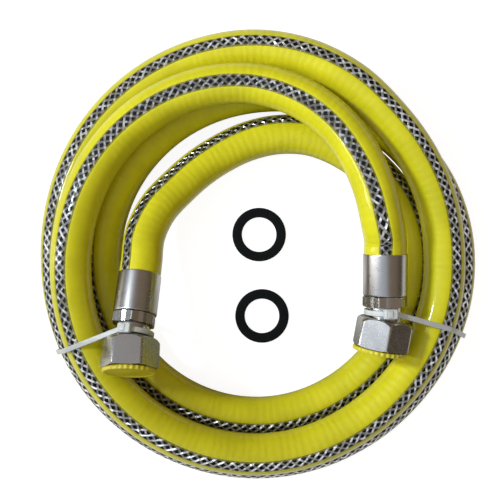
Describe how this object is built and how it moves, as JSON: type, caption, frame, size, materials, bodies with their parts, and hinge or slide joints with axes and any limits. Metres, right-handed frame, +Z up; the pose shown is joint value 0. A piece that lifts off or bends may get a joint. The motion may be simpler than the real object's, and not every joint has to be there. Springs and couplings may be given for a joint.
{
  "type": "flexible gas hose",
  "caption": "Coiled flexible metal gas hose with a yellow cover, a braided core seen through a clear lengthwise window, and a capped swivel union nut at each end.",
  "frame": {"origin": "under the centre of the coil, on the ground it lies on", "axes": "+Z up, square to the coil's plane; both fittings point towards -Y"},
  "size_m": [0.2205, 0.2253, 0.0642],
  "materials": {
    "cover": "smooth, glossy yellow",
    "window": "clear, glossy",
    "braid": "braided stainless wire",
    "tube": "smooth",
    "ferrule": "smooth, pressed",
    "tail": "bright, plated",
    "nut": "bright, plated",
    "wire": "drawn wire",
    "cap": "moulded yellow",
    "tie": "natural nylon",
    "rubber": "smooth, black"
  },
  "bodies": {
    "hose": {"hose_cover": "cover", "window_strip": "window", "braid_sleeve": "braid", "inner_tube": "tube", "sealing_washer_1": "rubber", "sealing_washer_2": "rubber", "ferrule_a": "ferrule", "braid_ring_a": "wire", "tail_a": "tail", "snap_ring_a": "wire", "cable_tie_a": "tie", "ferrule_b": "ferrule", "braid_ring_b": "wire", "tail_b": "tail", "snap_ring_b": "wire", "cable_tie_b": "tie"},
    "nut_a": {"union_nut_a": "nut", "end_cap_a": "cap"},
    "nut_b": {"union_nut_b": "nut", "end_cap_b": "cap"}
  },
  "joints": [
    {"name": "nut_a_spin", "type": "hinge", "parent": "hose", "child": "nut_a", "pos_m": [-0.05983, -0.04556, 0.04911], "axis": [-0.0182, -0.9511, 0.3083], "continuous": true},
    {"name": "nut_b_spin", "type": "hinge", "parent": "hose", "child": "nut_b", "pos_m": [0.05897, -0.03656, 0.04472], "axis": [-0.1736, -0.9835, -0.0515], "continuous": true}
  ]
}
